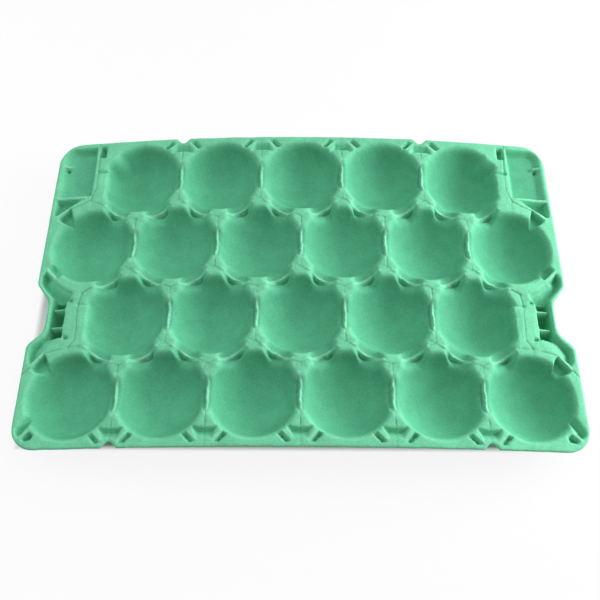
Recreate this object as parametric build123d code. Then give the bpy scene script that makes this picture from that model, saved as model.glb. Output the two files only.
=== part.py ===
from build123d import *
import math
import os

os.makedirs("parts", exist_ok=True)

# Moulded pulp fruit tray, one piece. Sizes in mm: X along the rows, Y to the back, Z up from the table.

# Layout of the bowls
bowl_pitch = 77.0  # between neighbours in a row
row_pitch = 73.0  # between rows, which step half a bowl sideways in turn
row_counts = [5, 6, 5, 6]  # bowls in each row, from the back
end_margin = 46.0  # from the middle of an outer bowl to the rim's end
edge_margin = 45.5  # from the middle of the first and last row to the rim's edge

# The sheet
wall = 2.2
crown_rise = 17.0  # the middle stands this much above the two ends
corner_radius = 22.0

# One bowl
bowl_radius = 38.2  # a ball of this size touches all of it
bowl_depth = 30.0  # below the rim
bowl_sides = 16  # flats round the inside
bowl_bands = 4  # bands of flats above the bowl's level foot
cup_upper_angle = 66.0  # underside of the bowl, upper band, from the level
cup_lower_angle = 33.0  # underside of the bowl, lower band, from the level
cup_sides = 12  # flats round the underside

# Saddles between neighbouring bowls, each with a thin fin across it
fin_thickness = 2.4
row_saddle_width = 32.0  # between two bowls of one row
row_saddle_floor = 16.0
row_saddle_depth = 10.0
row_fin_sag = 5.5  # the fin's crest in its middle, below the rim
slant_saddle_width = 24.0  # between bowls of two rows
slant_saddle_floor = 14.0
slant_saddle_depth = 12.5
slant_saddle_skew = 3.5  # each side of it is deeper by this towards one post, and shallower towards the other
slant_fin_sag = 10.4
saddle_reach = 14.0  # a saddle runs this far to each side of its fin

# Pits along the front and back rims, with a short fin at each side
pit_from_edge = 6.0  # rim left outside a pit
pit_length = 9.5
pit_back_width = 19.0
pit_front_width = 9.0
pit_depth = 7.0
ear_width = 6.0  # the small hollow outside each short fin
ear_depth = 6.0
corner_fin_inset = 12.0  # middle of the fin in each front corner, from the rim's end and edge
corner_fin_length = 10.0

# Vee cuts in the front and back rims
vee_width = 13.0
vee_depth = 5.0
vee_flat = 3.0

# Finger cut-outs at the two ends, beside the third row
grip_depth = 14.0
grip_mouth = 62.0
grip_floor = 31.0
grip_offset = 4.5  # towards the back from the middle of the row
grip_rounding = 7.0

# Deep slot inside each finger cut-out, crossed by two ribs
slot_from_row_end = 54.0  # from the middle of the row's last bowl to the slot
slot_width = 11.0
slot_length = 35.0
slot_depth = 18.0
slot_rib_gap = 17.0  # between the two ribs
slot_rib_drop = 2.5  # their crests below the rim
rib_thickness = 1.8
trough_depth = 7.5  # shallow troughs that lead from the slot round the cut-out
trough_rim = 5.0  # rim left between a trough and the cut-out

# Sunken panels in the two back corners
panel_from_row_end = 49.0  # from the middle of the row's last bowl to the panel
panel_rim = 5.0
panel_depth = 6.5
panel_front = 17.0  # in front of the middle of the row
panel_slope = 4.0  # its outer walls lean in by this much
panel_rib_gap = 37.0  # between the panel's front wall and the short rib at its outer wall
panel_rib_length = 8.0
well_depth = 9.0  # three-cornered well in front of the panel
well_length = 15.0
corner_pit_width = 7.0  # small pit beside the panel's back end
corner_pit_length = 12.0
corner_pit_depth = 8.0

# Sizes that follow
widest_row = max(row_counts)
tray_width = (widest_row - 1) * bowl_pitch + 2 * end_margin
tray_depth = (len(row_counts) - 1) * row_pitch + 2 * edge_margin
half_width = tray_width / 2
half_depth = tray_depth / 2
arch_radius = (half_width**2 + crown_rise**2) / (2 * crown_rise)
row_y = [half_depth - edge_margin - i * row_pitch for i in range(len(row_counts))]
row_x = [[(i - (n - 1) / 2) * bowl_pitch for i in range(n)] for n in row_counts]
bowls = [(x, y) for xs, y in zip(row_x, row_y) for x in xs]
ball_lift = bowl_radius - bowl_depth  # middle of the ball above the rim
slant_angle = math.degrees(math.atan2(bowl_pitch / 2, row_pitch))  # of a slanting fin, from X


def fall(x):
    """How far the arched sheet has dropped at x."""
    return arch_radius - math.sqrt(arch_radius**2 - x**2)


outer_bowl = max(row_x[1])
rim_height = bowl_depth + wall + fall(outer_bowl)
over_bowl = wall + fall(outer_bowl) - fall(outer_bowl - bowl_radius)  # the arched sheet rises this much over a bowl


def seat(x, y, turn=0.0):
    """A place on top of the arched sheet, tilted with it and turned about its own upright."""
    tilt = math.degrees(math.asin(x / arch_radius))
    return Location((x, y, rim_height - fall(x)), (0, tilt, 0)) * Location((0, 0, 0), (0, 0, turn))


def upright(x, y):
    """A place at the sheet's top that isn't tilted."""
    return Location((x, y, rim_height - fall(x)))


def arch_band(top, bottom):
    """The arched sheet's section between two heights, drawn out from front to back."""
    outer = arch_radius + top
    inner = arch_radius + bottom
    spread = math.asin(half_width / arch_radius) * 1.02
    low = rim_height - arch_radius
    a, b = outer * math.sin(spread), low + outer * math.cos(spread)
    c, d = inner * math.sin(spread), low + inner * math.cos(spread)
    section = make_face(
        [
            ThreePointArc((-a, b), (0, low + outer), (a, b)),
            Line((a, b), (c, d)),
            ThreePointArc((c, d), (0, low + inner), (-c, d)),
            Line((-c, d), (-a, b)),
        ]
    )
    return extrude(Plane.XZ * section, half_depth, both=True)


def faceted(rings):
    """A solid with flat sides through rings of points, one ring above the next."""
    faces = [Face(Wire.make_polygon(ring)) for ring in (rings[0], rings[-1])]
    for upper, lower in zip(rings, rings[1:]):
        for i in range(len(upper)):
            faces.append(Face(Wire.make_polygon([upper[i - 1], upper[i], lower[i], lower[i - 1]])))
    return Solid(Shell(faces)).fix()


def cup():
    """Outside of a bowl: two bands of flats round the ball and a level foot, up through the sheet."""
    ball = bowl_radius + wall
    up, low = math.radians(cup_upper_angle), math.radians(cup_lower_angle)
    half_side = math.pi / cup_sides

    def ring(z, angle):
        size = (ball + (z - ball_lift) * math.cos(angle)) / math.sin(angle) / math.cos(half_side)
        turns = [(2 * i + 1) * half_side for i in range(cup_sides)]
        return [(size * math.cos(t), size * math.sin(t), z) for t in turns]

    waist = ball_lift + ball * (math.sin(low) - math.sin(up)) / math.sin(up - low)
    return faceted([ring(over_bowl, up), ring(waist, up), ring(-(bowl_depth + wall), low)])


def bowl():
    """Inside of a bowl: bands of flats with their corners on the ball, down to a level foot."""
    top = math.acos((ball_lift - over_bowl) / bowl_radius)
    step = top / (bowl_bands + 0.5)  # the foot takes half a band
    turns = [(2 * k + 1) * math.pi / bowl_sides for k in range(bowl_sides)]
    rings = []
    for i in range(bowl_bands + 1):
        angle = (i + 0.5) * step
        size, z = bowl_radius * math.sin(angle), ball_lift - bowl_radius * math.cos(angle)
        if i == 0:
            z = -bowl_depth
        rings.append([(size * math.cos(t), size * math.sin(t), z) for t in turns])
    return faceted(rings[::-1])


def saddle_lining(width, floor, depth):
    """Sheet under a saddle: a block across the ridge, below the rim."""
    top, bottom = width / 2 + wall, floor / 2 + wall
    points = [(-top, -wall / 2), (-bottom, -depth - wall), (bottom, -depth - wall), (top, -wall / 2)]
    return extrude(Plane.XZ * make_face(Polyline(*points, close=True)), saddle_reach, both=True)


def saddle_side(width, floor, depth, skew, away):
    """Half of a channel with leaning sides through a ridge, on one side of the fin that crosses it."""
    top = width / 2 + (width - floor) / 2 * wall / depth
    points = [(-top, wall), (-floor / 2, skew - depth), (floor / 2, -skew - depth), (top, wall)]
    half = extrude(Plane.XZ * make_face(Polyline(*points, close=True)), away * (saddle_reach - fin_thickness / 2))
    return Pos(0, -away * fin_thickness / 2, 0) * half


def crest_cut(width, sag):
    """What is taken off a fin between the two sides to give it a hollow crest."""
    side = width / 2
    crest = [(side * i / 2, -sag * (1 - (i / 2) ** 2)) for i in range(-2, 3)]
    over = [(side, wall), (-side, wall)]
    return extrude(Plane.XZ * make_face(Polyline(*crest, *over, close=True)), fin_thickness / 2, both=True)


def saddle(width, floor, depth, skew, sag):
    """All that is taken out of a ridge, in one: both sides of the fin and what lies above its crest."""
    sides = [saddle_side(width, floor, depth, away * skew, away) for away in (1, -1)]
    return (crest_cut(width, sag) + sides).solid()


def hollow(points, depth):
    """A pocket of this outline, open at the top of the sheet."""
    return Pos(0, 0, wall) * extrude(make_face(Polyline(*points, close=True)), -depth - wall)


def lining(points, depth):
    """Sheet round and under a pocket of this outline."""
    face = make_face(Polyline(*points, close=True))
    wide = offset(face, wall, kind=Kind.INTERSECTION)
    return Pos(0, 0, -wall / 2) * extrude(wide, -(depth + wall / 2))


def mirrored(points):
    """The same outline on the other end of the tray, in the same sense of turning."""
    return [(-x, y) for x, y in reversed(points)]


# Saddles: one between neighbours of a row, one between each bowl and its two neighbours in the next row
row_saddles = []
slant_saddles = []
for xs, y in zip(row_x, row_y):
    row_saddles += [seat((a + b) / 2, y, 90) for a, b in zip(xs, xs[1:])]
for i in range(len(row_counts) - 1):
    for a in row_x[i]:
        for b in row_x[i + 1]:
            if abs(a - b) < 0.6 * bowl_pitch:
                turn = slant_angle if b > a else -slant_angle
                place = seat((a + b) / 2, (row_y[i] + row_y[i + 1]) / 2, turn)
                slant_saddles.append((place, math.copysign(slant_saddle_skew, b - a)))

# Pits along the rims lie between neighbouring bowls of the first and last row
pit_back = pit_from_edge + pit_length
pit = [
    (-pit_back_width / 2, pit_back),
    (-pit_front_width / 2, pit_from_edge),
    (pit_front_width / 2, pit_from_edge),
    (pit_back_width / 2, pit_back),
]
ear_in = pit_back_width / 2 + fin_thickness * 1.3
ear_out = pit_front_width / 2 + fin_thickness * 1.3
ear = [
    (ear_in, pit_back),
    (ear_out, pit_from_edge),
    (ear_out + ear_width, pit_from_edge),
    (ear_in + ear_width, pit_back),
]
front_pits = [(a + b) / 2 for a, b in zip(row_x[-1], row_x[-1][1:])]
back_pits = [(a + b) / 2 for a, b in zip(row_x[0], row_x[0][1:])]
pit_seats = [seat(x, -half_depth) for x in front_pits]
pit_seats += [seat(x, half_depth) * Location((0, 0, 0), (0, 0, 180)) for x in back_pits]

# Outline of the rim with its finger cut-outs and vee cuts
grip_y = row_y[2] + grip_offset
grip = [
    (half_width + grip_depth, grip_y + grip_mouth / 2 + grip_depth),
    (half_width, grip_y + grip_mouth / 2),
    (half_width - grip_depth, grip_y + grip_floor / 2),
    (half_width - grip_depth, grip_y - grip_floor / 2),
    (half_width, grip_y - grip_mouth / 2),
    (half_width + grip_depth, grip_y - grip_mouth / 2 - grip_depth),
]
outline = RectangleRounded(tray_width, tray_depth, corner_radius)
for points in (grip, mirrored(grip)):
    outline = outline - make_face(Polyline(*points, close=True))
bends = [
    v
    for v in outline.vertices()
    if abs(v.Y - grip_y) < grip_mouth / 2 + 1 and abs(v.X) > half_width - grip_depth - 1
]
outline = fillet(bends, grip_rounding)
vee = [
    (-vee_width / 2 - 1, -1),
    (-vee_width / 2, 0),
    (-vee_flat / 2, vee_depth),
    (vee_flat / 2, vee_depth),
    (vee_width / 2, 0),
    (vee_width / 2 + 1, -1),
]
vee_face = make_face(Polyline(*vee, close=True))
for x in (front_pits[0], front_pits[-1]):
    outline = outline - Pos(x, -half_depth) * vee_face
for x in (back_pits[0], back_pits[-1]):
    outline = outline - Pos(x, half_depth) * Rot(0, 0, 180) * vee_face

# Hollows at the two ends, drawn for the right-hand end about the third row and the first row
end_x = max(row_x[2])
slot_in = end_x + slot_from_row_end
slot_out = slot_in + slot_width
slot_top = grip_y + slot_length / 2
slot_bottom = grip_y - slot_length / 2
slot_edges = [slot_bottom]
for step in (-0.5, 0.5):
    rib_y = grip_y + step * slot_rib_gap
    slot_edges += [rib_y - rib_thickness / 2, rib_y + rib_thickness / 2]
slot_edges.append(slot_top)
bays = list(zip(slot_edges[::2], slot_edges[1::2]))
slot_bays = [[(slot_in, a), (slot_out, a), (slot_out, b), (slot_in, b)] for a, b in bays]
slot = [(slot_in, slot_bottom), (slot_out, slot_bottom), (slot_out, slot_top), (slot_in, slot_top)]
trough_out = half_width - trough_rim
mouth_top = grip_y + grip_mouth / 2
mouth_bottom = grip_y - grip_mouth / 2
upper_trough = [
    (slot_in - 2, slot_top),
    (slot_out + 1, slot_top),
    (trough_out, mouth_top),
    (trough_out, mouth_top + 5),
    (trough_out - 4, mouth_top + 9),
    (slot_out + 3, mouth_top + 1),
    (slot_in - 2, slot_top + 7),
]
lower_trough = [
    (slot_in - 1, slot_bottom),
    (slot_out - 6, slot_bottom - 11),
    (trough_out - 6, mouth_bottom - 14),
    (trough_out, mouth_bottom - 11),
    (trough_out, mouth_bottom),
    (slot_out + 1, slot_bottom),
]
panel_in = max(row_x[0]) + panel_from_row_end
panel_out = half_width - panel_rim
panel_low = row_y[0] - panel_front
panel_top = half_depth - panel_rim
cut_corner = corner_radius / 2
panel = [
    (panel_in, panel_low),
    (panel_out, panel_low),
    (panel_out, panel_top - cut_corner),
    (panel_out - cut_corner, panel_top),
    (panel_in, panel_top),
]
# how each corner moves with a lean of 1: the wall beside the bowl and the one in front stand upright
panel_walls = list(zip(panel, [(0, 0), (1, 0), (1, math.sqrt(2) - 1), (math.sqrt(2) - 1, 1), (0, 1)]))
well_top = panel_low - rib_thickness
well = [(panel_in + 6, well_top), (panel_out, well_top - well_length), (panel_out, well_top)]
pit_right = panel_in - rib_thickness
pit_left = pit_right - corner_pit_width
corner_pit = [
    (pit_left, panel_top - corner_pit_length),
    (pit_right, panel_top - corner_pit_length),
    (pit_right, panel_top),
    (pit_left, panel_top),
]


def strip(start, end, near, far):
    """A band along a line, between two distances to its right."""
    length = math.dist(start, end)
    a, b = (end[1] - start[1]) / length, (start[0] - end[0]) / length
    corners = [(start, near), (end, near), (end, far), (start, far)]
    return [(p[0] + a * d, p[1] + b * d) for p, d in corners]


def part_way(start, end, share):
    """A point on the way from one to the other."""
    return tuple(a + share * (b - a) for a, b in zip(start, end))


corner_mid = (half_width - corner_fin_inset, -half_depth + corner_fin_inset)
reach = corner_fin_length / 2 * math.sqrt(0.5)
fin_start = (corner_mid[0] - reach, corner_mid[1] + reach)
fin_end = (corner_mid[0] + reach, corner_mid[1] - reach)
half_fin = fin_thickness / 2
corner_ears = [
    strip(fin_start, fin_end, half_fin, half_fin + ear_width),
    strip(fin_end, fin_start, half_fin, half_fin + ear_width),
]
fin_lines = [
    (part_way(well[0], well[1], 0.45), part_way(well[0], well[1], 0.9)),
    (upper_trough[4], upper_trough[5]),
    (part_way(lower_trough[1], lower_trough[2], 0.45), lower_trough[2]),
]
end_ears = [strip(a, b, fin_thickness, fin_thickness + ear_width) for a, b in fin_lines]
hollows = [(bay, slot_depth) for bay in slot_bays] + [
    (slot, slot_rib_drop),
    (upper_trough, trough_depth),
    (lower_trough, trough_depth),
    (well, well_depth),
    (corner_pit, corner_pit_depth),
]
hollows += [(ear_strip, ear_depth) for ear_strip in corner_ears + end_ears]


def at_end(points):
    """The outline about its own place on the sheet, with that place."""
    x = sum(p[0] for p in points) / len(points)
    y = sum(p[1] for p in points) / len(points)
    return [(a - x, b - y) for a, b in points], seat(x, y)


# The sheet with everything that hangs below it
trim = extrude(outline, 2 * rim_height)
sheet = arch_band(0, -wall) & trim
under = arch_band(-wall / 2, -2 * rim_height)
below = [(upright(x, y) * cup()) & under for x, y in bowls]
below += [s * saddle_lining(row_saddle_width, row_saddle_floor, row_saddle_depth) for s in row_saddles]
deep = slant_saddle_depth + slant_saddle_skew
below += [s * saddle_lining(slant_saddle_width, slant_saddle_floor, deep) for s, _ in slant_saddles]
pit_block = [
    (-ear_out - ear_width, pit_from_edge),
    (ear_out + ear_width, pit_from_edge),
    (ear_in + ear_width, pit_back),
    (-ear_in - ear_width, pit_back),
]
below += [s * lining(pit_block, pit_depth) for s in pit_seats]
for points, depth in [(slot, slot_depth), (panel, panel_depth)] + hollows[len(slot_bays) + 1 :]:
    for side in (points, mirrored(points)):
        local, place = at_end(side)
        below.append(place * lining(local, depth))
tray = sheet + below

# Everything that opens to the top
cuts = []
for s in row_saddles:
    cuts.append(s * saddle(row_saddle_width, row_saddle_floor, row_saddle_depth, 0, row_fin_sag))
for s, skew in slant_saddles:
    cuts.append(s * saddle(slant_saddle_width, slant_saddle_floor, slant_saddle_depth, skew, slant_fin_sag))
for s in pit_seats:
    cuts.append(s * hollow(pit, pit_depth))
    cuts.append(s * hollow(ear, ear_depth))
    cuts.append(s * hollow(mirrored(ear), ear_depth))
for points, depth in hollows:
    for side in (points, mirrored(points)):
        local, place = at_end(side)
        cuts.append(place * hollow(local, depth))
for sign in (1, -1):
    place = seat(sign * (panel_in + panel_out) / 2, row_y[0])

    def ring(z, lean):
        middle = (panel_in + panel_out) / 2
        return [(sign * (x - middle - a * lean), y - row_y[0] - b * lean, z) for (x, y), (a, b) in panel_walls]

    panel_cut = faceted([ring(wall, -panel_slope * wall / panel_depth), ring(-panel_depth, panel_slope)])
    rib_x = sign * ((panel_out - panel_in) / 2 - panel_rib_length / 2)
    rib = Box(panel_rib_length, rib_thickness, 2 * panel_depth, align=(Align.CENTER, Align.CENTER, Align.MAX))
    cuts.append(place * (panel_cut - Pos(rib_x, panel_low + panel_rib_gap - row_y[0], 0) * rib))
tray = tray - cuts
inside = bowl()
tray = tray - [upright(x, y) * inside for x, y in bowls]

# Trim what hangs below to the outline
tray = (tray & trim).solid()
tray.label = "pulp_tray"
export_step(tray, "parts/pulp_tray.step")
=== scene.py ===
import bpy
import math
import numpy as np
from mathutils import Matrix, Vector, kdtree
from mathutils.geometry import delaunay_2d_cdt


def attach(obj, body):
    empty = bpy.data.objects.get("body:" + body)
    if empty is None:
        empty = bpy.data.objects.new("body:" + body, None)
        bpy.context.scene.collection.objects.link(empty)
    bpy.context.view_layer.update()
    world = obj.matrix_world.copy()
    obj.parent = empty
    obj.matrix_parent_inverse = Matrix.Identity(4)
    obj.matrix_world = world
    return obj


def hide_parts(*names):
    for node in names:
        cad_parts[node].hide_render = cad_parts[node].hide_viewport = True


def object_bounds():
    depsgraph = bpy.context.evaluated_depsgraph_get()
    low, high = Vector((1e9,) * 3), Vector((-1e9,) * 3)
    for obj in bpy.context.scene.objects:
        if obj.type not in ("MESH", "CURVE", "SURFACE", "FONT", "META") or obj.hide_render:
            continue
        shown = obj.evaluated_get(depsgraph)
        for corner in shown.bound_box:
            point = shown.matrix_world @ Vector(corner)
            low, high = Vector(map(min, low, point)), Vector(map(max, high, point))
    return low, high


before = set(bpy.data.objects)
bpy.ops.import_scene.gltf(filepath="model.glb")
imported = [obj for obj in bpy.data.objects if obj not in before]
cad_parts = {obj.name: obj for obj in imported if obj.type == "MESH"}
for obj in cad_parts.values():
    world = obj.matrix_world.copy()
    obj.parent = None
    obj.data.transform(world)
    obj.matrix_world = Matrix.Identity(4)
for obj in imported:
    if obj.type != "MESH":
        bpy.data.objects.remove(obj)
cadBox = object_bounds()
print("frame loaded, CAD box:", cadBox)

# lengths below are mm until the mesh is made, X along the rows, Y to the back
tray = {
    "bowlPitch": 77.0,
    "rowPitch": 73.0,
    "rowCounts": [5, 6, 5, 6],  # from the back
    "endMargin": 46.0,
    "edgeMargin": 45.5,
    "cornerRadius": 22.0,
    "crownRise": 17.0,
    "wall": 2.2,
    "ballRadius": 38.2,
    "bowlDepth": 30.0,
    "lipSlope": 2.2,  # steepest part of a bowl's side
    "rimRounding": 5.0,  # how softly a bowl turns into the land beside it
    "finHalf": 0.75,  # half thickness at a fin's crest
    "finLean": 7.0,  # steepness of its sides
    "paintedShadeDepth": 7.0,  # painted shade: the colour darkens from the top down to this depth below it
    "lumpiness": 0.22,  # unevenness of the moulded surface
}

counts = tray["rowCounts"]
halfWidth = (max(counts) - 1) * tray["bowlPitch"] / 2 + tray["endMargin"]
halfDepth = (len(counts) - 1) * tray["rowPitch"] / 2 + tray["edgeMargin"]
archRadius = (halfWidth**2 + tray["crownRise"] ** 2) / (2 * tray["crownRise"])
rowY = [halfDepth - tray["edgeMargin"] - i * tray["rowPitch"] for i in range(len(counts))]
rowX = [[(i - (n - 1) / 2) * tray["bowlPitch"] for i in range(n)] for n in counts]
bowls = [(x, y) for xs, y in zip(rowX, rowY) for x in xs]
ballLift = tray["ballRadius"] - tray["bowlDepth"]
# from here up the ball's side is straight
lipStart = tray["ballRadius"] * math.sin(math.atan(tray["lipSlope"]))
frontGaps = [(a + b) / 2 for a, b in zip(rowX[-1], rowX[-1][1:])]
backGaps = [(a + b) / 2 for a, b in zip(rowX[0], rowX[0][1:])]
rimGaps = [(gap, True) for gap in frontGaps] + [(gap, False) for gap in backGaps]  # True at the front
rimTop = cadBox[1][2] * 1000


def archDrop(x):
    return archRadius - np.sqrt(archRadius**2 - x**2)


def softMin(a, b, k):
    w = np.clip(0.5 + 0.5 * (b - a) / k, 0, 1)
    return b + (a - b) * w - k * w * (1 - w)


def softMax(a, b, k):
    return -softMin(-a, -b, k)


def lumps(x, y, size, seed):  # smooth noise between -1 and 1
    grid = np.random.default_rng(seed).uniform(-1, 1, (64, 64))
    u, v = x / size + 200.0, y / size + 200.0
    i, j = np.floor(u).astype(int), np.floor(v).astype(int)
    a, b = u - i, v - j
    a, b = a * a * (3 - 2 * a), b * b * (3 - 2 * b)
    def at(p, q):
        return grid[(i + p) % 64, (j + q) % 64]
    return (at(0, 0) * (1 - a) + at(1, 0) * a) * (1 - b) + (at(0, 1) * (1 - a) + at(1, 1) * a) * b


def smoothCurve(knots, soft):  # a rounded line through these points
    at = np.linspace(-40, 40, 801)
    height = np.interp(at, *zip(*knots))
    weight = np.exp(-0.5 * (np.arange(-60, 61) * 0.1 / soft) ** 2)
    height = np.convolve(np.pad(height, 60, mode="edge"), weight / weight.sum(), mode="valid")
    return lambda u: np.interp(u, at, height)


# between two bowls of a row
rowSaddle = {
    "floors": (-10.6, -7.6),  # left of the fin, right of it
    "rises": (1.8, 0.4),  # slope of those floors away from the fin
    "flatHalf": 3.0,
    "halfLength": 16.0,
    "fullness": 2.4,
    "finSag": 5.6,
    "finHalfLength": 18.5,
    "reach": 26.35,  # from the middle of the fin to the post
}

# between bowls of two rows; lines run from the shallow post to the deep one: along the fin, height
slantSaddle = {
    "land": [(-13.5, 0.5), (-11.5, -2.5), (-9.5, -6.5), (-7.5, -9), (-4, -10.8), (0, -12),
             (3, -13.3), (5.6, -13), (8, -9), (10.2, -4.8), (13, 0.5)],
    "landSoft": 1.7,
    "landSkew": 0.45,
    "landHalf": 14,
    "groove": [(-12, 0.5), (-9.5, -6), (-7.5, -9.6), (-4, -12.2), (0, -14.4), (3, -16.4),
               (6, -16.6), (8.2, -11.8), (10.4, -5.6), (12.8, 0.5)],
    "grooveSoft": 0.8,
    "grooveHalf": 2.6,
    "grooveRise": 2.2,
    "backFloor": -10.9,  # the side away from the front stays shallow
    "backHalfLength": 15,
    "finSag": 9.8,
    "finHalfLength": 12.6,
    "reach": 21.75,
}
slantLand = smoothCurve(slantSaddle["land"], slantSaddle["landSoft"])
slantGroove = smoothCurve(slantSaddle["groove"], slantSaddle["grooveSoft"])
finReach = {"row": rowSaddle["reach"], "slant": slantSaddle["reach"]}


def insideDistance(x, y, loop, walls):  # in wall widths from the sides of a closed loop, positive inside
    best = np.full(x.shape, 1e9)
    inside = np.zeros(x.shape, bool)
    for (ax, ay), (bx, by), wall in zip(loop, loop[1:] + loop[:1], walls):
        ex, ey = bx - ax, by - ay
        w = np.clip(((x - ax) * ex + (y - ay) * ey) / (ex * ex + ey * ey), 0, 1)
        best = np.minimum(best, ((x - ax - w * ex) ** 2 + (y - ay - w * ey) ** 2) / wall**2)
        if ay != by:
            inside ^= ((ay > y) != (by > y)) & (x < (y - ay) * ex / ey + ax)
    return np.where(inside, 1, -1) * np.sqrt(best)


def alongLine(x, y, start, end):  # distance along the line, distance to its side, its length
    ex, ey = end[0] - start[0], end[1] - start[1]
    length = math.hypot(ex, ey)
    s = ((x - start[0]) * ex + (y - start[1]) * ey) / length
    t = ((y - start[1]) * ex - (x - start[0]) * ey) / length
    return s, t, length


# saddles between neighbouring bowls: middle, direction along the fin, direction across it, kind
saddles = []
for xs, y in zip(rowX, rowY):
    saddles += [((a + b) / 2, y, 0.0, 1.0, 1.0, 0.0, "row") for a, b in zip(xs, xs[1:])]
for i in range(len(counts) - 1):
    for a in rowX[i]:
        for b in rowX[i + 1]:
            if abs(a - b) < 0.6 * tray["bowlPitch"]:
                dx, dy = a - b, rowY[i] - rowY[i + 1]
                tx, ty = dx / math.hypot(dx, dy), dy / math.hypot(dx, dy)  # towards the back bowl
                lean = math.copysign(1, dx)
                middle = ((a + b) / 2, (rowY[i] + rowY[i + 1]) / 2)
                saddles.append((*middle, -lean * ty, lean * tx, tx, ty, "slant"))

# hollows and ribs of the right-hand end; the other end mirrors them
endHollows = [
    # outline, depth, width of the wall or of each side's wall, slope of the floor, softness of the lip
    {"loop": [(200.5, 92), (234.3, 92), (234.3, 141), (231, 147), (226, 149.8), (200.5, 149.8)], "depth": 6.4,
     "wall": [2.0, 5.4, 5, 5, 3.6, 3.4], "lean": 0.13},  # level, although the rim round it slopes
    {"loop": [(226.4, 123.6), (232, 123.6), (232, 129), (226.4, 129)], "depth": 9.0, "wall": 1.6},
    {"loop": [(206, 89.5), (234.5, 89.5), (235, 73.5), (232, 71.5)], "depth": 8.5, "wall": 3.0},
    {"loop": [(191.5, 136.5), (198, 136.5), (198, 150), (191.5, 150)], "depth": 8.0, "wall": 2.0},
    {"loop": [(184, 117.4), (199, 117.4), (199, 120.8), (184, 120.8)], "depth": 2.4, "wall": 1.6},
    # pockets beside the three fins that run out to the rim, open towards the bowl
    {"loop": [(218.4, 78.8), (229.6, 68.8), (226.6, 64.8), (217, 58.4), (214, 62), (217, 75)],
     "depth": 8.0, "wall": [1.5, 2, 2.5, 1.2, 1.1, 1.6]},
    {"loop": [(220.2, 3.9), (230.8, 14.4), (227.5, 19), (219.4, 20), (214, 13.5), (217.2, 6.6)],
     "depth": 8.0, "wall": [1.5, 2, 2.5, 1.2, 3.5, 2]},
    {"loop": [(220.6, -70.4), (231, -83.3), (227.6, -86.6), (218.6, -90.6), (214.2, -86), (217.6, -74.2)],
     "depth": 8.5, "wall": [1.5, 2, 2.5, 1.2, 1.1, 1.6]},
    # trough round the finger cut-out, and the slot in it
    {"loop": [(203.6, -11.3), (211.9, -7.1), (222.1, 0.6), (231.8, 11.6), (235, 7), (235, -0.3),
              (231.9, -5.5), (221.7, -16.7), (221.3, -22), (207.5, -21), (204, -15.2)],
     "depth": 8.5, "wall": [10, 9, 2.2, 2.2, 2.4, 2.4, 2.4, 2.4, 1.0, 3, 5], "soft": 2.2},
    {"loop": [(203.6, -11.3), (211.9, -7.1), (222.1, 0.6), (226, -2), (217, -19), (207.5, -20), (204, -15.2)],
     "depth": 2.6, "wall": [1.3, 1.3, 3, 3, 3, 3, 1.3]},
    {"loop": [(208.2, -19.2), (221.3, -18.8), (221.3, -55.6), (208.0, -55.2)],
     "depth": 21.0, "wall": [1.7, 3.8, 1.7, 1.4]},
    {"loop": [(208, -53.5), (213, -59), (218.8, -63.2), (222.8, -69.1), (231.8, -79), (234.4, -74.5),
              (235, -68), (234, -63.2), (223.9, -53.6), (221.3, -48)],
     "depth": 8.5, "wall": [12, 12, 11, 2.2, 2.2, 2.4, 2.4, 2.4, 2.4, 1.0], "soft": 3.0},
    {"loop": [(202.4, -21.4), (206.6, -21.4), (206.6, -18.6), (202.4, -18.6)], "depth": 3.4, "wall": 0.9},
    {"loop": [(202.0, -57.4), (206.0, -57.4), (206.0, -54.6), (202.0, -54.6)], "depth": 3.4, "wall": 0.9},
    {"loop": [(180, -25.6), (198.5, -25.6), (198.5, -23.0), (180, -23.0)], "depth": 2.0, "wall": 1.4},
    # front corner
    {"loop": [(218.2, -142), (222.2, -139.6), (228.3, -144.8), (225.8, -147.6), (220, -146.2)],
     "depth": 7.0, "wall": 1.9},
    {"loop": [(217, -127), (225.5, -120), (235, -136), (234.6, -140.6), (230.8, -143.4), (225.4, -138.2)],
     "depth": 7.0, "wall": [4, 4, 2.6, 2.4, 1.6, 5]},
]
endRibs = [
    # start, end, crest at both, half thickness
    {"line": [(204, 91), (234.5, 91)], "crest": (-3.8, -0.4), "half": 0.7},
    {"line": [(226, 130), (234, 130)], "crest": (-3.0, -0.4), "half": 0.7},
    {"line": [(199.3, 135), (199.8, 151)], "crest": (-0.5, -0.3), "half": 0.6},
    {"line": [(209, 87.5), (233, 68.5)], "crest": (-1.0, -0.2), "half": 0.8},
    {"line": [(221, 2.5), (231.5, 13.5)], "crest": (-0.6, -0.2), "half": 0.8},
    {"line": [(220.5, -69), (232, -82.6)], "crest": (-0.5, -0.2), "half": 0.8},
    {"line": [(206.5, -28), (219, -27.4)], "crest": (-1.2, -3.6), "half": 0.6},
    {"line": [(206.5, -45.4), (219, -44.8)], "crest": (-1.2, -3.6), "half": 0.6},
    {"line": [(223.6, -137.8), (231, -145)], "crest": (-1.0, -0.4), "half": 0.7},
]

# outer sides of the first and third rows' end bowls
endBowl = {
    "sides": [(-44.5, 19.5), (108, 15)],  # straight parts: middle and half length
    "sideX": 187.5,
    "sideSlope": 3.0,
    "sideFade": 2.2,
    "sideRange": (175, 205),
    "sideSoft": 3.0,
    "lump": (185.5, 137.5),  # a low swelling beside the panel
    "lumpTop": 1.4,
    "lumpFall": 0.07,
    "lumpSoft": 3.5,
    "lumpLimit": 200,
}

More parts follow.
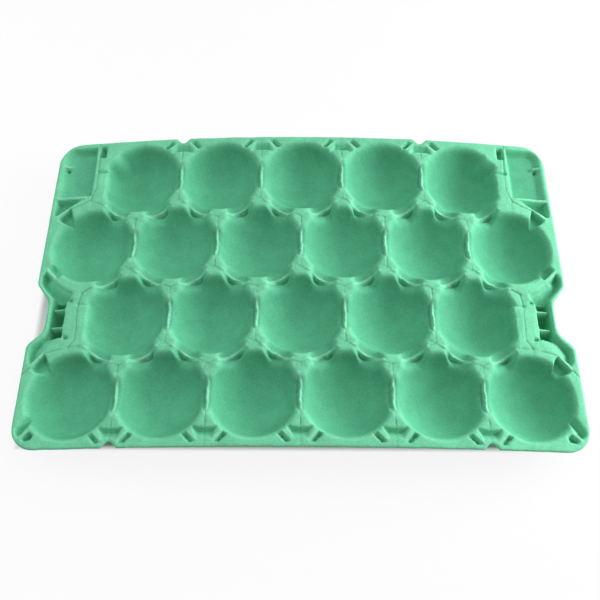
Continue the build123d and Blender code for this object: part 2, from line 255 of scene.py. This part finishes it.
# pits along the front and back rims: across the gap, distance from the rim's edge
pit = {
    "hollow": [(-11.5, 18.8), (-6, 16.6), (0, 15.9), (6, 16.6), (11.5, 18.8), (6.2, 8.2), (-6.2, 8.2)],
    "hollowDepth": 5.8,
    "hollowWalls": [1.9, 1.7, 1.7, 1.9, 3.0, 6.0, 3.0],
    "ear": [(14.4, 12.8), (19.2, 11.4), (11.8, 3.9), (7.2, 5.2)],  # one at each side
    "earDepth": 6.6,
    "earWall": 1.8,
    "ribs": [((-13.6, 13.4), (-5.4, 5.2)), ((13.6, 13.4), (5.4, 5.2))],
    "ribCrest": (-2.2, -0.6),
    "ribHalf": 0.75,
}

# fine joint lines of the mould, right-hand end
endSeams = [
    [(199.7, 153.7), (197.6, 136), (196.8, 121.8), (196.1, 100.5), (200.3, 87.1), (209, 82), (219.5, 78)],
    [(187.5, -8), (195, -12.5), (196.7, -24), (195.3, -47.5), (195, -58), (200, -65.5)],
    [(207, -66.7), (221, -70)],
    [(231.8, -83), (237.9, -89.5)],
]
endSeamLines = [[a, b] for line in endSeams for a, b in zip(line, line[1:])]
seam = {
    "half": 0.85,  # half width
    "endDepth": 0.55,
    "endShade": 0.65,
    "postDepth": (0.15, 0.6),  # drawn at random between these
    "postLength": 10.5,
    "slantShare": 0.45,  # fainter at a slanting fin
    "postShade": 0.9,  # for each mm of depth
    "gapDepth": 0.4,
    "gapLength": 22,
}
crestHighlightHalf = 1.7  # half width of the painted highlight along a fin


def pitPlace(x, y, gap, front):
    return x - gap, (y + halfDepth) if front else (halfDepth - y)


def atRim(gap, front, line):  # a pit's line in the tray's own place
    return [(gap + u, v - halfDepth if front else halfDepth - v) for u, v in line]


def carve(h, x, y, loop, depth, wall, lean=0, soft=1.3):
    near = (x > min(p[0] for p in loop) - 4) & (x < max(p[0] for p in loop) + 4)
    near &= (y > min(p[1] for p in loop) - 4) & (y < max(p[1] for p in loop) + 4)
    if near.any():
        walls = wall if isinstance(wall, list) else [wall] * len(loop)
        d = insideDistance(x[near], y[near], loop, walls)
        depth = depth - lean * (x[near] - sum(p[0] for p in loop) / len(loop))
        h[near] = softMin(h[near], softMax(-depth + 0 * d, -d * depth, 1.4), soft)


def raiseRib(h, x, y, line, crest, half, soft=0.7):
    s, t, length = alongLine(x, y, *line)
    near = (s > -5) & (s < length + 5) & (abs(t) < 7)
    if near.any():
        s, t = s[near], abs(t[near])
        top = crest[0] + (crest[1] - crest[0]) * np.clip(s / length, 0, 1)
        past = np.maximum(0, np.maximum(-s, s - length))
        wallTop = top - tray["finLean"] * np.maximum(0, t - half) - 5 * past
        h[near] = softMax(h[near], wallTop, soft)


def scoreSeam(h, x, y, line, depth):
    s, t, length = alongLine(x, y, *line)
    near = (s > -0.5) & (s < length + 0.5) & (abs(t) < seam["half"])
    h[near] -= depth * (1 - abs(t[near]) / seam["half"])


def mirrorX(points):
    return [(-px, py) for px, py in points]


# short joint lines from each fin over the post at its end
postSeams = []
seamRandom = np.random.default_rng(5)
for mx, my, sx, sy, _, _, kind in saddles:
    for sign in (-1, 1):
        a, b = sign * (finReach[kind] - seam["postLength"]), sign * finReach[kind]
        depth = seamRandom.uniform(*seam["postDepth"]) * (1 if kind == "row" else seam["slantShare"])
        postSeams.append(([(mx + a * sx, my + a * sy), (mx + b * sx, my + b * sy)], depth))
for gap in frontGaps:  # and on over the rim
    postSeams.append(([(gap + 0.6, 0.5 - halfDepth), (gap, seam["gapLength"] - halfDepth)], seam["gapDepth"]))
for gap in backGaps:
    postSeams.append(([(gap, halfDepth - seam["gapLength"]), (gap - 0.5, halfDepth - 0.5)], seam["gapDepth"]))


def seamMask(x, y):  # 1 on a joint line
    mask = np.zeros(x.shape)
    lines = [(line, seam["postShade"] * depth) for line, depth in postSeams]
    for line in endSeamLines:
        lines += [(line, seam["endShade"]), (mirrorX(line), seam["endShade"])]
    for line, strength in lines:
        s, t, length = alongLine(x, y, *line)
        near = (s > -0.5) & (s < length + 0.5) & (abs(t) < seam["half"])
        mask[near] = np.maximum(mask[near], strength * (1 - abs(t[near]) / seam["half"]))
    return mask


def crestHighlightMask(x, y):  # 1 along the crest of a fin or rib, where a highlight is painted
    mask = np.zeros(x.shape)
    lines = [((mx - a * sx, my - a * sy), (mx + a * sx, my + a * sy))
             for mx, my, sx, sy, _, _, kind in saddles for a in [finReach[kind] - 7]]
    for rib in endRibs:
        lines += [rib["line"], mirrorX(rib["line"])]
    lines += [atRim(gap, front, line) for gap, front in rimGaps for line in pit["ribs"]]
    for line in lines:
        s, t, length = alongLine(x, y, *line)
        near = (s > 0) & (s < length) & (abs(t) < crestHighlightHalf)
        mask[near] = np.maximum(mask[near], np.clip((crestHighlightHalf - abs(t[near])) / 0.7, 0, 1))
    return mask


def topHeight(x, y):  # height of the upper face above the arched rim level
    h = np.zeros(x.shape)
    for bx, by in bowls:
        r2 = (x - bx) ** 2 + (y - by) ** 2
        near = r2 < (tray["ballRadius"] + 3) ** 2
        r = np.sqrt(r2[near])
        ball = ballLift - np.sqrt(tray["ballRadius"] ** 2 - np.minimum(r, lipStart) ** 2)
        ball += np.maximum(0, r - lipStart) * tray["lipSlope"]
        h[near] = softMin(h[near], ball, tray["rimRounding"])
    for n, (mx, my, sx, sy, tx, ty, kind) in enumerate(saddles):
        near = (abs(x - mx) < 27) & (abs(y - my) < 27)
        s = (x[near] - mx) * sx + (y[near] - my) * sy
        t = (x[near] - mx) * tx + (y[near] - my) * ty
        wobble = 0.35 * np.sin(s * 0.31 + n) + 0.2 * np.sin(s * 0.83 + 2 * n)
        t = t + wobble
        here = h[near]
        if kind == "row":
            floor = np.where(t < 0, *rowSaddle["floors"])
            floor = floor * (1 - (abs(s) / rowSaddle["halfLength"]) ** rowSaddle["fullness"])
            floor = floor + np.where(t < 0, *rowSaddle["rises"]) * np.maximum(0, abs(t) - rowSaddle["flatHalf"])
            crest = -rowSaddle["finSag"] * (1 - (s / rowSaddle["finHalfLength"]) ** 2)
        else:
            u = np.where(t < 0, s, -s)  # grows towards the deep end on each side
            floor = slantLand(u + slantSaddle["landSkew"] * np.maximum(0, abs(t) - 2))
            floor = np.where(abs(t) < slantSaddle["landHalf"], floor, 5.0)
            past = np.maximum(0, abs(t) - slantSaddle["grooveHalf"])
            floor = softMin(floor, slantGroove(u) + slantSaddle["grooveRise"] * past, 1.2)
            crest = -slantSaddle["finSag"] * (1 - (s / slantSaddle["finHalfLength"]) ** 4)
            rise = (s / slantSaddle["backHalfLength"]) ** 2
            back = slantSaddle["backFloor"] - slantSaddle["backFloor"] * rise
            floor = np.where(t > 0, softMax(floor, back, 1.5), floor)
        here = softMin(here, floor, 2.2)
        crest = np.minimum(crest, 0)
        fin = crest - tray["finLean"] * np.maximum(0, abs(t) - tray["finHalf"])
        fin = np.where(abs(s) < finReach[kind] - 4, fin, -40.0)
        here = softMax(here, fin, 0.8)
        h[near] = here
    for gap, front in rimGaps:
        u, v = pitPlace(x, y, gap, front)
        carve(h, u, v, pit["hollow"], pit["hollowDepth"], pit["hollowWalls"])
        carve(h, abs(u), v, pit["ear"], pit["earDepth"], pit["earWall"])
        for line in pit["ribs"]:
            raiseRib(h, u, v, line, pit["ribCrest"], pit["ribHalf"])
    ax = abs(x)
    first, last = endBowl["sideRange"]
    for middle, half in endBowl["sides"]:
        side = np.minimum((ax - endBowl["sideX"]) * endBowl["sideSlope"], 0)
        side = side - endBowl["sideFade"] * np.maximum(0, abs(y - middle) - half)
        h = np.where((ax > first) & (ax < last), softMax(h, side, endBowl["sideSoft"]), h)
    lumpX, lumpY = endBowl["lump"]
    lump = endBowl["lumpTop"] - endBowl["lumpFall"] * ((ax - lumpX) ** 2 + (y - lumpY) ** 2)
    lump = np.where(ax < endBowl["lumpLimit"], np.minimum(lump, 0), -40)
    h = softMax(h, lump, endBowl["lumpSoft"])
    for hollow in endHollows:
        lean, soft = hollow.get("lean", 0), hollow.get("soft", 1.3)
        carve(h, ax, y, hollow["loop"], hollow["depth"], hollow["wall"], lean, soft)
    for rib in endRibs:
        raiseRib(h, ax, y, rib["line"], rib["crest"], rib["half"])
    for line in endSeamLines:
        scoreSeam(h, ax, y, line, seam["endDepth"])
    for line, depth in postSeams:
        scoreSeam(h, x, y, line, depth)
    h += tray["lumpiness"] * (lumps(x, y, 17, 1) - 1) + 0.5 * tray["lumpiness"] * (lumps(x, y, 5, 2) - 1)
    return np.minimum(h, -0.05)


def underHeight(x, y):  # the sheet's lower face: the lowest top nearby, less the wall
    low = topHeight(x, y)
    for k in range(8):
        a = k * math.pi / 4
        low = np.minimum(low, topHeight(x + tray["wall"] * math.cos(a), y + tray["wall"] * math.sin(a)))
    return np.maximum(low - tray["wall"] + 0.2, -tray["bowlDepth"] - tray["wall"])


# outline of the rim, with its finger cut-outs and vee cuts
rim = {
    "step": 2.0,
    "gripLoop": [(238.5, -63.0), (236.8, -59.4), (226.0, -49.5), (224.5, -40.5), (224.5, -23.5), (226.4, -17.2),
                 (238.5, -1.0)],
    "gripEnds": (-70.0, 6.0),
    "gripRounding": 6.0,
    "cornerSteps": 12,
    "vee": [(-6.5, 0), (-1.5, 5), (1.5, 5), (6.5, 0)],
    "raggedness": 0.45,
    "edgeRounding": 0.5,
    "edgeDrop": 0.35,
}


def roundCorners(points, radius):  # replaces the inner points of a line by short curves
    out = [points[0]]
    for a, b, c in zip(points, points[1:], points[2:]):
        cut = min(radius, 0.45 * math.dist(a, b), 0.45 * math.dist(b, c))
        p = [b[i] + (a[i] - b[i]) * cut / math.dist(a, b) for i in (0, 1)]
        q = [b[i] + (c[i] - b[i]) * cut / math.dist(b, c) for i in (0, 1)]
        for w in (0, 0.25, 0.5, 0.75, 1):
            out.append(tuple((1 - w) ** 2 * p[i] + 2 * w * (1 - w) * b[i] + w * w * q[i] for i in (0, 1)))
    return out + [points[-1]]


def rimOutline():
    r, steps = tray["cornerRadius"], rim["cornerSteps"]
    right = []
    for k in range(steps + 1):  # front right corner, then up the side
        a = -math.pi / 2 + k * math.pi / (2 * steps)
        right.append((halfWidth - r + r * math.cos(a), -halfDepth + r + r * math.sin(a)))
    grip = [(halfWidth, rim["gripEnds"][0])] + rim["gripLoop"] + [(halfWidth, rim["gripEnds"][1])]
    right += roundCorners(grip, rim["gripRounding"])
    for k in range(steps + 1):
        a = k * math.pi / (2 * steps)
        right.append((halfWidth - r + r * math.cos(a), halfDepth - r + r * math.sin(a)))
    back = []
    for gap in sorted((backGaps[0], backGaps[-1]), reverse=True):
        back += [(gap + u, halfDepth - v) for u, v in rim["vee"][::-1]]
    front = []
    for gap in sorted((frontGaps[0], frontGaps[-1])):
        front += [(gap + u, -halfDepth + v) for u, v in rim["vee"]]
    return front + right + back + mirrorX(right)[::-1]


def resample(loop, step, closed=True):
    out = []
    ends = loop[1:] + loop[:1] if closed else loop[1:]
    for a, b in zip(loop, ends):
        n = max(1, round(math.dist(a, b) / step))
        out += [(a[0] + (b[0] - a[0]) * k / n, a[1] + (b[1] - a[1]) * k / n) for k in range(n)]
    return out if closed else out + [loop[-1]]


def inset(loop, amount):  # moves each point of an anticlockwise loop inwards
    out = []
    for a, b, c in zip(loop[-1:] + loop[:-1], loop, loop[1:] + loop[:1]):
        ex, ey = c[0] - a[0], c[1] - a[1]
        size = math.hypot(ex, ey)
        d = amount if not callable(amount) else amount(*b)
        out.append((b[0] - ey / size * d, b[1] + ex / size * d))
    return out


def ragged(px, py):
    x, y = np.array([px]), np.array([py])
    n = lumps(x, y, 9, 7)[0] + 0.6 * lumps(x, y, 3.1, 8)[0]
    return rim["raggedness"] * (0.5 + 0.5 * n / 1.6)


def tidyLoop(loop, least):
    out = [loop[0]]
    for p in loop[1:]:
        if math.dist(p, out[-1]) > least:
            out.append(p)
    return out if math.dist(out[0], out[-1]) > least else out[:-1]


edgeLoop = tidyLoop(inset(tidyLoop(resample(rimOutline(), rim["step"]), 0.6), ragged), 0.5)
faceLoop = inset(edgeLoop, rim["edgeRounding"])

meshing = {  # mm
    "openStep": 2.5,  # between mesh points inside a bowl
    "fineStep": 1.4,  # on the land, fins and rim
    "underStep": 3.4,  # below
    "finOffsets": (0, 0.75, -0.75, 1.25, -1.25, 2.0, -2.0, 3.1, -3.1),
    "ribOffsets": (0, 0.7, -0.7, 1.3, -1.3, 2.1, -2.1),
    "pitOffsets": (0, 0.75, -0.75, 1.4, -1.4, 2.2, -2.2),
    "seamOffsets": (0, 0.85, -0.85),
    "lipRings": (34.6, 36.0, 37.2, 38.4),
    "fineFrom": 33.5,  # from a bowl's middle
    "openTo": 33.8,
    "doubles": 0.62,  # points of the lines that share a cell of this size count once
    "spread": 0.72,  # least distance, as a share of the step
}


def keepApart(kept, extra, least):  # adds the points that aren't too near the ones before
    tree = kdtree.KDTree(len(kept))
    for i, p in enumerate(kept):
        tree.insert((p[0], p[1], 0), i)
    tree.balance()
    return kept + [p for p in extra if tree.find((p[0], p[1], 0))[2] > least]


def lattice(step):
    rows = int(2 * halfDepth / (step * 0.866)) + 1
    return [
        (-halfWidth + (i + 0.5 * (j % 2)) * step, -halfDepth + j * step * 0.866)
        for j in range(rows)
        for i in range(int(2 * halfWidth / step) + 1)
    ]


def offsetLine(line, d):
    (ax, ay), (bx, by) = line
    size = math.dist(*line)
    nx, ny = -(by - ay) / size, (bx - ax) / size
    return [(ax + nx * d, ay + ny * d), (bx + nx * d, by + ny * d)]


def topPoints():
    lines = []
    for mx, my, sx, sy, _, _, kind in saddles:
        reach = finReach[kind]
        line = [(mx - reach * sx, my - reach * sy), (mx + reach * sx, my + reach * sy)]
        for d in meshing["finOffsets"]:
            lines.append((offsetLine(line, d), 1.5 if abs(d) < 1 else 1.9))
    ends = []
    for rib in endRibs:
        ends += [(offsetLine(rib["line"], d), 1.4) for d in meshing["ribOffsets"]]
    for line in endSeamLines:
        ends += [(offsetLine(line, d), 1.5) for d in meshing["seamOffsets"]]
    for hollow in endHollows:
        loop, wall = hollow["loop"], hollow["wall"]
        wall = min(wall) if isinstance(wall, list) else wall
        area = sum(a[0] * b[1] - b[0] * a[1] for a, b in zip(loop, loop[1:] + loop[:1]))
        anticlockwise = loop if area > 0 else loop[::-1]
        for d in (-0.6, 0.5, wall * 0.7, wall * 1.15):
            ring = inset(resample(anticlockwise, 1.5), d)
            ends += [([a, b], 9) for a, b in zip(ring, ring[1:] + ring[:1])]
    for line, step in ends:
        lines += [(line, step), (mirrorX(line), step)]
    for gap, front in rimGaps:
        for line in pit["ribs"]:
            lines += [(atRim(gap, front, offsetLine(line, d)), 1.5) for d in meshing["pitOffsets"]]
    points = []
    for line, step in lines:
        points += resample(line, step, closed=False)
    kept, seen = [], set()
    for p in points:  # a coarse grid drops doubles
        cell = (round(p[0] / meshing["doubles"]), round(p[1] / meshing["doubles"]))
        if cell not in seen:
            seen.add(cell)
            kept.append(p)
    rings = []
    for bx, by in bowls:
        for r in meshing["lipRings"]:
            n = int(2 * math.pi * r / 2.0)
            turns = [2 * math.pi * k / n for k in range(n)]
            rings += [(bx + r * math.cos(a), by + r * math.sin(a)) for a in turns]
    kept = keepApart(kept, rings, 1.0)
    for step, wanted in (
        (meshing["fineStep"], lambda r: r > meshing["fineFrom"]),
        (meshing["openStep"], lambda r: r <= meshing["openTo"]),
    ):
        spots = lattice(step)
        fx, fy = np.array(spots).T
        nearest = np.min([np.hypot(fx - bx, fy - by) for bx, by in bowls], axis=0)
        kept = keepApart(kept, [p for p, r in zip(spots, nearest) if wanted(r)], meshing["spread"] * step)
    return kept


def triangulate(points, loop):
    px, py = np.array(points).T
    points = [p for p, d in zip(points, insideDistance(px, py, loop, [1] * len(loop))) if d > 0.45]
    every = [Vector(p) for p in loop + points]
    found = delaunay_2d_cdt(every, [], [list(range(len(loop)))], 1, 1e-4)
    verts, faces, source = found[0], found[2], found[3]
    return np.array([(v.x, v.y) for v in verts]), faces, source


def buildTray():
    top, topFaces, topSource = triangulate(topPoints(), faceLoop)
    under, underFaces, underSource = triangulate(lattice(meshing["underStep"]), faceLoop)
    print("top", len(top), len(topFaces), "under", len(under), len(underFaces))
    n = len(faceLoop)
    zTop = topHeight(top[:, 0], top[:, 1])
    zUnder = underHeight(under[:, 0], under[:, 1])
    edge = np.array(edgeLoop)
    topAt = {s: i for i, src in enumerate(topSource) for s in src if s < n}
    underAt = {s: i for i, src in enumerate(underSource) for s in src if s < n}
    for s, i in topAt.items():
        zTop[i] -= rim["edgeDrop"]
    for s, i in underAt.items():
        zUnder[i] = -tray["wall"]
    zEdge = np.array([0.5 * (zTop[topAt[s]] + zUnder[underAt[s]]) for s in range(n)])
    xy = np.concatenate([top, under, edge])
    z = np.concatenate([zTop, zUnder, zEdge])
    z = np.clip(rimTop - archDrop(xy[:, 0]) + z, 0, rimTop)
    verts = np.column_stack([xy, z]) / 1000
    a, b = len(top), len(top) + len(under)
    faces = [tuple(f) for f in topFaces] + [tuple(a + i for i in reversed(f)) for f in underFaces]
    for s in range(n):
        e = (s + 1) % n
        faces.append((topAt[e], topAt[s], b + s, b + e))
        faces.append((b + e, b + s, a + underAt[s], a + underAt[e]))
    mesh = bpy.data.meshes.new("pulpTray")
    mesh.from_pydata(verts.tolist(), [], faces)
    mesh.polygons.foreach_set("use_smooth", [True] * len(mesh.polygons))
    mesh.update()
    bare = np.zeros(len(under) + n)
    seams = np.concatenate([seamMask(top[:, 0], top[:, 1]), bare])
    # painted highlight along the crests of fins and ribs
    paintedCrests = np.concatenate([crestHighlightMask(top[:, 0], top[:, 1]), bare])
    # painted shade: share of the top's colour, falling with depth below the top
    rise = np.clip(1 + np.concatenate([zTop, zUnder, zEdge]) / tray["paintedShadeDepth"], 0, 1)
    for name, values in (("rise", rise), ("crest", paintedCrests), ("seam", seams)):
        mesh.attributes.new(name, "FLOAT", "POINT").data.foreach_set("value", values)
    piece = bpy.data.objects.new("pulp_tray_moulded", mesh)
    bpy.context.scene.collection.objects.link(piece)
    print("tray triangles:", sum(len(p.vertices) - 2 for p in mesh.polygons))
    return piece


trayPiece = buildTray()

# matte dyed pulp: short fibres, cloudy colour and a felted surface, with painted shade darker below the top and
# a painted highlight along the crests
pulp = {
    "topGreen": (0.190, 0.670, 0.395, 1),
    # painted shade: the colour deep in the bowls
    "paintedShadeGreen": (0.122, 0.515, 0.302, 1),
    # painted highlight along the crests
    "paintedHighlightGreen": (0.250, 0.740, 0.470, 1),
    "cloudShade": (0.94, 1.06),  # darkest and palest, as a share of the colour
    "fleckShade": (0.84, 1.04),
    "seamShade": (1.0, 0.45),  # away from a joint line, on it
    "roughness": (0.80, 0.96),
    "specular": 0.10,
    "fibreSize": 900.0,
    "cloudSize": 70.0,
    "bump": 0.35,
    "bumpDepth": 0.0006,
}


def fibreGroup():
    group = bpy.data.node_groups.new("pulpFibres", "ShaderNodeTree")
    face = group.interface
    face.new_socket("Vector", in_out="INPUT", socket_type="NodeSocketVector")
    for name, value in (("Fibre Size", 900.0), ("Cloud Size", 70.0)):
        face.new_socket(name, in_out="INPUT", socket_type="NodeSocketFloat").default_value = value
    for name in ("Fibres", "Clouds", "Height"):
        face.new_socket(name, in_out="OUTPUT", socket_type="NodeSocketFloat")
    nodes, links = group.nodes, group.links
    start, end = nodes.new("NodeGroupInput"), nodes.new("NodeGroupOutput")
    fine, cloud, grain = (nodes.new("ShaderNodeTexNoise") for _ in range(3))
    for node, detail, rough, warp in ((fine, 5, 0.62, 0.9), (cloud, 3, 0.55, 0.3), (grain, 2, 0.5, 0.0)):
        node.inputs["Detail"].default_value = detail
        node.inputs["Roughness"].default_value = rough
        node.inputs["Distortion"].default_value = warp
        links.new(start.outputs["Vector"], node.inputs["Vector"])
    links.new(start.outputs["Fibre Size"], fine.inputs["Scale"])
    links.new(start.outputs["Cloud Size"], cloud.inputs["Scale"])
    third = nodes.new("ShaderNodeMath")
    third.operation = "MULTIPLY"
    third.inputs[1].default_value = 0.3
    links.new(start.outputs["Fibre Size"], third.inputs[0])
    links.new(third.outputs[0], grain.inputs["Scale"])
    mix = nodes.new("ShaderNodeMath")
    mix.operation = "MULTIPLY_ADD"
    mix.inputs[1].default_value = 0.6
    links.new(fine.outputs["Fac"], mix.inputs[0])
    links.new(grain.outputs["Fac"], mix.inputs[2])
    links.new(fine.outputs["Fac"], end.inputs["Fibres"])
    links.new(cloud.outputs["Fac"], end.inputs["Clouds"])
    links.new(mix.outputs[0], end.inputs["Height"])
    return group


def pulpMaterial():
    material = bpy.data.materials.new("dyedPulp")
    material.use_nodes = True
    nodes, links = material.node_tree.nodes, material.node_tree.links
    shader = nodes["Principled BSDF"]
    shader.inputs["Specular IOR Level"].default_value = pulp["specular"]
    place = nodes.new("ShaderNodeTexCoord")
    fibres = nodes.new("ShaderNodeGroup")
    fibres.node_tree = fibreGroup()
    fibres.inputs["Fibre Size"].default_value = pulp["fibreSize"]
    fibres.inputs["Cloud Size"].default_value = pulp["cloudSize"]
    links.new(place.outputs["Object"], fibres.inputs["Vector"])
    rise, crest, joint = (nodes.new("ShaderNodeAttribute") for _ in range(3))
    rise.attribute_name, crest.attribute_name, joint.attribute_name = "rise", "crest", "seam"
    # painted shade: the colour goes from the top's green to a darker green with depth; painted highlight: a
    # paler green along the crests
    body, highlightMix = nodes.new("ShaderNodeMix"), nodes.new("ShaderNodeMix")
    body.data_type = highlightMix.data_type = "RGBA"
    body.inputs["A"].default_value = pulp["paintedShadeGreen"]
    body.inputs["B"].default_value = pulp["topGreen"]
    highlightMix.inputs["B"].default_value = pulp["paintedHighlightGreen"]
    links.new(rise.outputs["Fac"], body.inputs["Factor"])
    links.new(body.outputs["Result"], highlightMix.inputs["A"])
    links.new(crest.outputs["Fac"], highlightMix.inputs["Factor"])
    shade = highlightMix.outputs["Result"]
    for source, low, high, shares in (
        (fibres.outputs["Clouds"], 0.35, 0.65, pulp["cloudShade"]),
        (fibres.outputs["Fibres"], 0.36, 0.60, pulp["fleckShade"]),
        (joint.outputs["Fac"], 0.0, 1.0, pulp["seamShade"]),
    ):
        level = nodes.new("ShaderNodeMapRange")
        for name, value in zip(("From Min", "From Max", "To Min", "To Max"), (low, high, *shares)):
            level.inputs[name].default_value = value
        links.new(source, level.inputs["Value"])
        darker = nodes.new("ShaderNodeVectorMath")
        darker.operation = "SCALE"
        links.new(shade, darker.inputs[0])
        links.new(level.outputs["Result"], darker.inputs["Scale"])
        shade = darker.outputs["Vector"]
    links.new(shade, shader.inputs["Base Color"])
    rough = nodes.new("ShaderNodeMapRange")
    rough.inputs["To Min"].default_value, rough.inputs["To Max"].default_value = pulp["roughness"]
    links.new(fibres.outputs["Fibres"], rough.inputs["Value"])
    links.new(rough.outputs["Result"], shader.inputs["Roughness"])
    bump = nodes.new("ShaderNodeBump")
    bump.inputs["Strength"].default_value = pulp["bump"]
    bump.inputs["Distance"].default_value = pulp["bumpDepth"]
    links.new(fibres.outputs["Height"], bump.inputs["Height"])
    links.new(bump.outputs["Normal"], shader.inputs["Normal"])
    return material


trayPiece.data.materials.append(pulpMaterial())
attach(trayPiece, "root")
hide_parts("pulp_tray")
print("tray dressed")

# pale studio: a floor, soft light from the right, the back right and above, and a lamp at each end
studio = {
    "floorSize": 6.0,
    "floorWhite": 0.93,
    "cameraWhite": 0.88,  # share of plain white that the floor shows the camera away from the tray
    "shadeInset": 13,  # mm, as the front and back edges stand out over their shadow
    "shadeFade": 0.005,  # m
    "softLight": [(0, 35, 0.60), (45, 35, 0.95), (0, 90, 0.50)],  # degrees round, degrees up, strength
    "lightFocus": 3,
    "lamps": [  # degrees round, degrees up, distance, size, watts
        (10, 19, 0.95, 0.55, 8.4),
        (170, 38, 0.95, 0.70, 2.6),
    ],
}


def aimAt(around, up):
    a, e = math.radians(around), math.radians(up)
    return Vector((math.cos(e) * math.cos(a), math.cos(e) * math.sin(a), math.sin(e)))


def backdropRays(nodes, links):  # 1 for what the camera sees, straight or by a reflection
    path = nodes.new("ShaderNodeLightPath")
    glossy, every = nodes.new("ShaderNodeMath"), nodes.new("ShaderNodeMath")
    glossy.operation = every.operation = "MAXIMUM"
    links.new(path.outputs["Is Camera Ray"], glossy.inputs[0])
    links.new(path.outputs["Is Glossy Ray"], glossy.inputs[1])
    links.new(glossy.outputs[0], every.inputs[0])
    links.new(path.outputs["Is Transmission Ray"], every.inputs[1])
    return every.outputs[0]


def buildFloor():
    half = studio["floorSize"] / 2
    mesh = bpy.data.meshes.new("floor")
    corners = [(-half, -half, 0), (half, -half, 0), (half, half, 0), (-half, half, 0)]
    mesh.from_pydata(corners, [], [(0, 1, 2, 3)])
    floor = bpy.data.objects.new("floor", mesh)
    bpy.context.scene.collection.objects.link(floor)
    material = bpy.data.materials.new("paleFloor")
    material.use_nodes = True
    nodes, links = material.node_tree.nodes, material.node_tree.links
    nodes.clear()
    out = nodes.new("ShaderNodeOutputMaterial")
    plain = nodes.new("ShaderNodeBsdfDiffuse")
    plain.inputs["Color"].default_value = (studio["floorWhite"],) * 3 + (1,)
    white = nodes.new("ShaderNodeEmission")
    place, parts = nodes.new("ShaderNodeTexCoord"), nodes.new("ShaderNodeSeparateXYZ")
    links.new(place.outputs["Object"], parts.inputs[0])
    outside = []
    for axis, half in (("X", halfWidth), ("Y", halfDepth - studio["shadeInset"])):
        size, past = nodes.new("ShaderNodeMath"), nodes.new("ShaderNodeMath")
        size.operation, past.operation = "ABSOLUTE", "SUBTRACT"
        past.inputs[1].default_value = half / 1000
        links.new(parts.outputs[axis], size.inputs[0])
        links.new(size.outputs[0], past.inputs[0])
        outside.append(past.outputs[0])
    far, seen = nodes.new("ShaderNodeMath"), nodes.new("ShaderNodeMath")
    far.operation, seen.operation = "MAXIMUM", "MULTIPLY"
    fade = nodes.new("ShaderNodeMapRange")
    fade.inputs["From Max"].default_value = studio["shadeFade"]
    fade.inputs["To Max"].default_value = studio["cameraWhite"]
    mix = nodes.new("ShaderNodeMixShader")
    links.new(outside[0], far.inputs[0])
    links.new(outside[1], far.inputs[1])
    links.new(far.outputs[0], fade.inputs["Value"])
    links.new(fade.outputs["Result"], seen.inputs[0])
    links.new(backdropRays(nodes, links), seen.inputs[1])
    links.new(seen.outputs[0], mix.inputs["Fac"])
    links.new(plain.outputs[0], mix.inputs[1])
    links.new(white.outputs[0], mix.inputs[2])
    links.new(mix.outputs[0], out.inputs["Surface"])
    mesh.materials.append(material)


def buildLight():
    scene = bpy.context.scene
    world = bpy.data.worlds.new("studioSky")
    world.use_nodes = True
    nodes, links = world.node_tree.nodes, world.node_tree.links
    sky = nodes["Background"]
    sky.inputs["Color"].default_value = (1, 1, 1, 1)
    place = nodes.new("ShaderNodeTexCoord")
    total = None
    for around, up, strength in studio["softLight"]:
        dot = nodes.new("ShaderNodeVectorMath")
        dot.operation = "DOT_PRODUCT"
        dot.inputs[1].default_value = aimAt(around, up)
        cut, narrow, level = (nodes.new("ShaderNodeMath") for _ in range(3))
        cut.operation, narrow.operation, level.operation = "MAXIMUM", "POWER", "MULTIPLY_ADD"
        cut.inputs[1].default_value, narrow.inputs[1].default_value = 0, studio["lightFocus"]
        level.inputs[1].default_value, level.inputs[2].default_value = strength, 0
        links.new(place.outputs["Generated"], dot.inputs[0])
        links.new(dot.outputs["Value"], cut.inputs[0])
        links.new(cut.outputs[0], narrow.inputs[0])
        links.new(narrow.outputs[0], level.inputs[0])
        if total:
            links.new(total, level.inputs[2])
        total = level.outputs[0]
    seen = nodes.new("ShaderNodeMix")
    seen.inputs["B"].default_value = 1  # the camera sees plain white
    links.new(backdropRays(nodes, links), seen.inputs["Factor"])
    links.new(total, seen.inputs["A"])
    links.new(seen.outputs["Result"], sky.inputs["Strength"])
    scene.world = world
    for n, (around, up, far, size, power) in enumerate(studio["lamps"]):
        lamp = bpy.data.lights.new(f"softLamp{n}", "AREA")
        lamp.energy = power
        lamp.size = size
        holder = bpy.data.objects.new(f"softLamp{n}", lamp)
        holder.location = aimAt(around, up) * far
        holder.rotation_euler = (-holder.location).to_track_quat("-Z", "Y").to_euler()
        scene.collection.objects.link(holder)


view = {
    "pixels": 600,
    "focalPixels": 753.6,
    "elevation": 62.98,  # degrees above the level
    "turn": -0.288,
    "aim": (-0.827, -24.97),  # mm, at rim level
    "distance": 654.56,
}


def buildCamera():
    data = bpy.data.cameras.new("photoView")
    data.sensor_width = 36
    data.lens = view["focalPixels"] * 36 / view["pixels"]
    data.clip_start = 0.05
    camera = bpy.data.objects.new("photoView", data)
    turn = Matrix.Rotation(math.radians(-view["turn"]), 3, "Z")
    e = math.radians(view["elevation"])
    target = turn @ Vector((view["aim"][0], view["aim"][1], 0)) + Vector((0, 0, rimTop))
    away = turn @ Vector((0, -math.cos(e), math.sin(e))) * view["distance"]
    camera.location = (target + away) / 1000
    camera.rotation_euler = (-away).to_track_quat("-Z", "Y").to_euler()
    bpy.context.scene.collection.objects.link(camera)
    bpy.context.scene.camera = camera


buildFloor()
buildLight()
buildCamera()
bpy.context.scene.view_settings.view_transform = "Standard"
print("studio ready")
